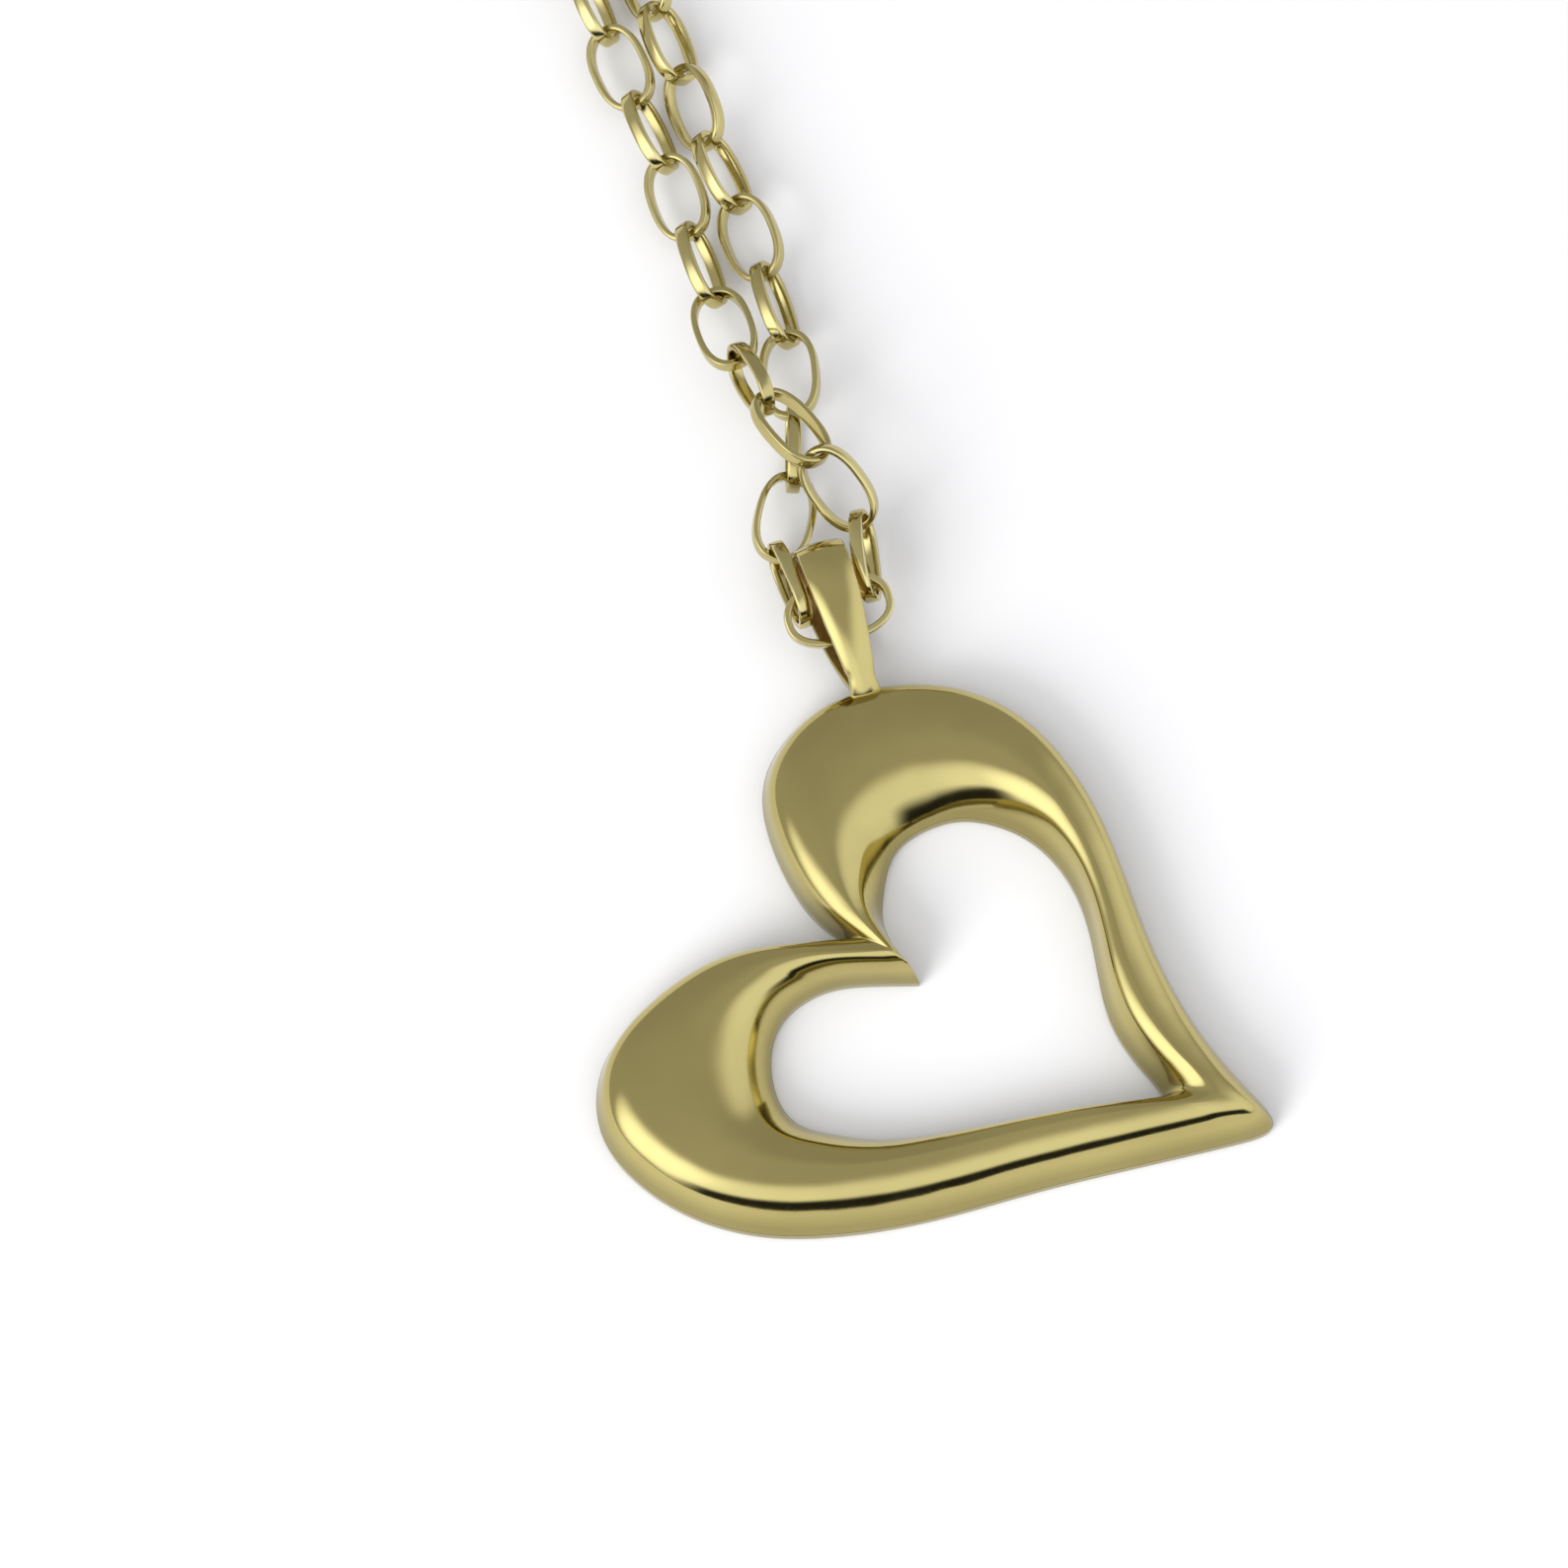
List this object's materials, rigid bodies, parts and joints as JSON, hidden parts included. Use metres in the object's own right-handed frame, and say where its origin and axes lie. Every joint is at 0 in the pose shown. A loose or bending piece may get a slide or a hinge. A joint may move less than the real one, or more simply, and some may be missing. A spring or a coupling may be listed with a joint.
{
  "type": "pendant necklace",
  "caption": "Open, leaning heart pendant, puffed and hollow, with a tapered strap bail on an oval-link belcher chain with a lobster clasp; lies on its back.",
  "frame": {"origin": "on the heart's flat back, straight under the top of its front where the bail's line crosses the band", "axes": "+Z out of the heart's front, +Y from the heart to its bail and along the chain, +X to the right seen from the front"},
  "size_m": [0.0495, 0.0964, 0.0056],
  "materials": {
    "polished_gold": "polished",
    "chain_gold": "gloss",
    "spring_steel": "satin"
  },
  "bodies": {
    "chain": {"chain_coil": "chain_gold", "left_chain_run": "chain_gold", "right_chain_run": "chain_gold", "clasp_body": "polished_gold", "clasp_lever_pin": "spring_steel", "clasp_spring": "spring_steel"},
    "pendant": {"heart_front_shell": "polished_gold", "heart_back_plate": "polished_gold", "bail": "polished_gold"},
    "bail_link": {"bail_link": "chain_gold"},
    "left_link_01": {"left_link_01": "chain_gold"},
    "left_link_02": {"left_link_02": "chain_gold"},
    "left_link_03": {"left_link_03": "chain_gold"},
    "left_link_04": {"left_link_04": "chain_gold"},
    "left_link_05": {"left_link_05": "chain_gold"},
    "left_link_06": {"left_link_06": "chain_gold"},
    "left_link_07": {"left_link_07": "chain_gold"},
    "left_link_08": {"left_link_08": "chain_gold"},
    "left_link_09": {"left_link_09": "chain_gold"},
    "left_link_10": {"left_link_10": "chain_gold"},
    "right_link_01": {"right_link_01": "chain_gold"},
    "right_link_02": {"right_link_02": "chain_gold"},
    "right_link_03": {"right_link_03": "chain_gold"},
    "right_link_04": {"right_link_04": "chain_gold"},
    "right_link_05": {"right_link_05": "chain_gold"},
    "right_link_06": {"right_link_06": "chain_gold"},
    "right_link_07": {"right_link_07": "chain_gold"},
    "right_link_08": {"right_link_08": "chain_gold"},
    "right_link_09": {"right_link_09": "chain_gold"},
    "right_link_10": {"right_link_10": "chain_gold"},
    "clasp_lever": {"clasp_lever": "polished_gold"},
    "clasp_jump_ring": {"clasp_jump_ring": "chain_gold"},
    "chain_end_ring": {"chain_end_ring": "chain_gold"}
  },
  "joints": [
    {"name": "pendant_swing", "type": "hinge", "parent": "chain", "child": "pendant", "pos_m": [0.00003, 0.00575, 0.00197], "axis": [-1, 0, 0], "range_deg": [0, 120]},
    {"name": "bail_link_roll", "type": "hinge", "parent": "chain", "child": "bail_link", "pos_m": [0.00003, 0.00575, 0.00197], "axis": [1, 0, 0], "range_deg": [-5, 5]},
    {"name": "left_link_01_roll", "type": "hinge", "parent": "chain", "child": "left_link_01", "pos_m": [0.00188, 0.00775, 0.00208], "axis": [0.2153, 0.9764, -0.0141], "range_deg": [-5, 5]},
    {"name": "left_link_02_roll", "type": "hinge", "parent": "chain", "child": "left_link_02", "pos_m": [0.00166, 0.01077, 0.00287], "axis": [-0.3464, 0.8054, 0.481], "range_deg": [-5, 5]},
    {"name": "left_link_03_roll", "type": "hinge", "parent": "chain", "child": "left_link_03", "pos_m": [0.00047, 0.01372, 0.0037], "axis": [-0.3543, 0.935, 0.0127], "range_deg": [-5, 5]},
    {"name": "left_link_04_roll", "type": "hinge", "parent": "chain", "child": "left_link_04", "pos_m": [-0.00035, 0.01676, 0.00288], "axis": [-0.1306, 0.8592, -0.4948], "range_deg": [-5, 5]},
    {"name": "left_link_05_roll", "type": "hinge", "parent": "chain", "child": "left_link_05", "pos_m": [-0.00054, 0.01989, 0.00176], "axis": [0.015, 0.9857, -0.1678], "range_deg": [-5, 5]},
    {"name": "left_link_06_roll", "type": "hinge", "parent": "chain", "child": "left_link_06", "pos_m": [-0.00051, 0.02326, 0.00144], "axis": [0.006, 0.9998, -0.02], "range_deg": [-5, 5]},
    {"name": "left_link_07_roll", "type": "hinge", "parent": "chain", "child": "left_link_07", "pos_m": [-0.00053, 0.02666, 0.00143], "axis": [-0.0202, 0.9997, 0.0109], "range_deg": [-5, 5]},
    {"name": "left_link_08_roll", "type": "hinge", "parent": "chain", "child": "left_link_08", "pos_m": [-0.0007, 0.03005, 0.00145], "axis": [-0.0784, 0.9969, 0.0009], "range_deg": [-5, 5]},
    {"name": "left_link_09_roll", "type": "hinge", "parent": "chain", "child": "left_link_09", "pos_m": [-0.00098, 0.03342, 0.00145], "axis": [-0.0909, 0.9959, 0], "range_deg": [-5, 5]},
    {"name": "left_link_10_roll", "type": "hinge", "parent": "chain", "child": "left_link_10", "pos_m": [-0.00122, 0.03681, 0.00145], "axis": [-0.0465, 0.9989, 0], "range_deg": [-5, 5]},
    {"name": "right_link_01_roll", "type": "hinge", "parent": "chain", "child": "right_link_01", "pos_m": [-0.00154, 0.00762, 0.00171], "axis": [-0.0521, 0.9835, -0.1732], "range_deg": [-5, 5]},
    {"name": "right_link_02_roll", "type": "hinge", "parent": "chain", "child": "right_link_02", "pos_m": [-0.00077, 0.01075, 0.00142], "axis": [0.5069, 0.862, 0.0023], "range_deg": [-5, 5]},
    {"name": "right_link_03_roll", "type": "hinge", "parent": "chain", "child": "right_link_03", "pos_m": [0.00062, 0.01383, 0.00142], "axis": [0.3083, 0.9513, 0], "range_deg": [-5, 5]},
    {"name": "right_link_04_roll", "type": "hinge", "parent": "chain", "child": "right_link_04", "pos_m": [0.00152, 0.01708, 0.00142], "axis": [0.2261, 0.9741, 0], "range_deg": [-5, 5]},
    {"name": "right_link_05_roll", "type": "hinge", "parent": "chain", "child": "right_link_05", "pos_m": [0.00194, 0.02043, 0.00142], "axis": [0.0238, 0.9997, 0], "range_deg": [-5, 5]},
    {"name": "right_link_06_roll", "type": "hinge", "parent": "chain", "child": "right_link_06", "pos_m": [0.00192, 0.02383, 0.00142], "axis": [-0.04, 0.9992, 0], "range_deg": [-5, 5]},
    {"name": "right_link_07_roll", "type": "hinge", "parent": "chain", "child": "right_link_07", "pos_m": [0.00171, 0.02721, 0.00142], "axis": [-0.0808, 0.9967, 0], "range_deg": [-5, 5]},
    {"name": "right_link_08_roll", "type": "hinge", "parent": "chain", "child": "right_link_08", "pos_m": [0.00149, 0.0306, 0.00142], "axis": [-0.0523, 0.9986, 0], "range_deg": [-5, 5]},
    {"name": "right_link_09_roll", "type": "hinge", "parent": "chain", "child": "right_link_09", "pos_m": [0.00138, 0.03398, 0.00142], "axis": [-0.0119, 0.9999, 0], "range_deg": [-5, 5]},
    {"name": "right_link_10_roll", "type": "hinge", "parent": "chain", "child": "right_link_10", "pos_m": [0.00131, 0.03737, 0.00142], "axis": [-0.0284, 0.9996, 0], "range_deg": [-5, 5]},
    {"name": "clasp_lever_press", "type": "hinge", "parent": "chain", "child": "clasp_lever", "pos_m": [0.01435, 0.056, 0.0013], "axis": [0, 0, -1], "range_deg": [0, 20], "stiffness_Nm_per_rad": 0.0004, "springref_deg": -28.65},
    {"name": "clasp_jump_ring_roll", "type": "hinge", "parent": "chain", "child": "clasp_jump_ring", "pos_m": [0.0151, 0.05205, 0.00162], "axis": [0, 1, 0], "range_deg": [-20, 20]},
    {"name": "chain_end_ring_roll", "type": "hinge", "parent": "chain", "child": "chain_end_ring", "pos_m": [0.0151, 0.06125, 0.00182], "axis": [0, 1, 0], "range_deg": [-20, 20]}
  ]
}
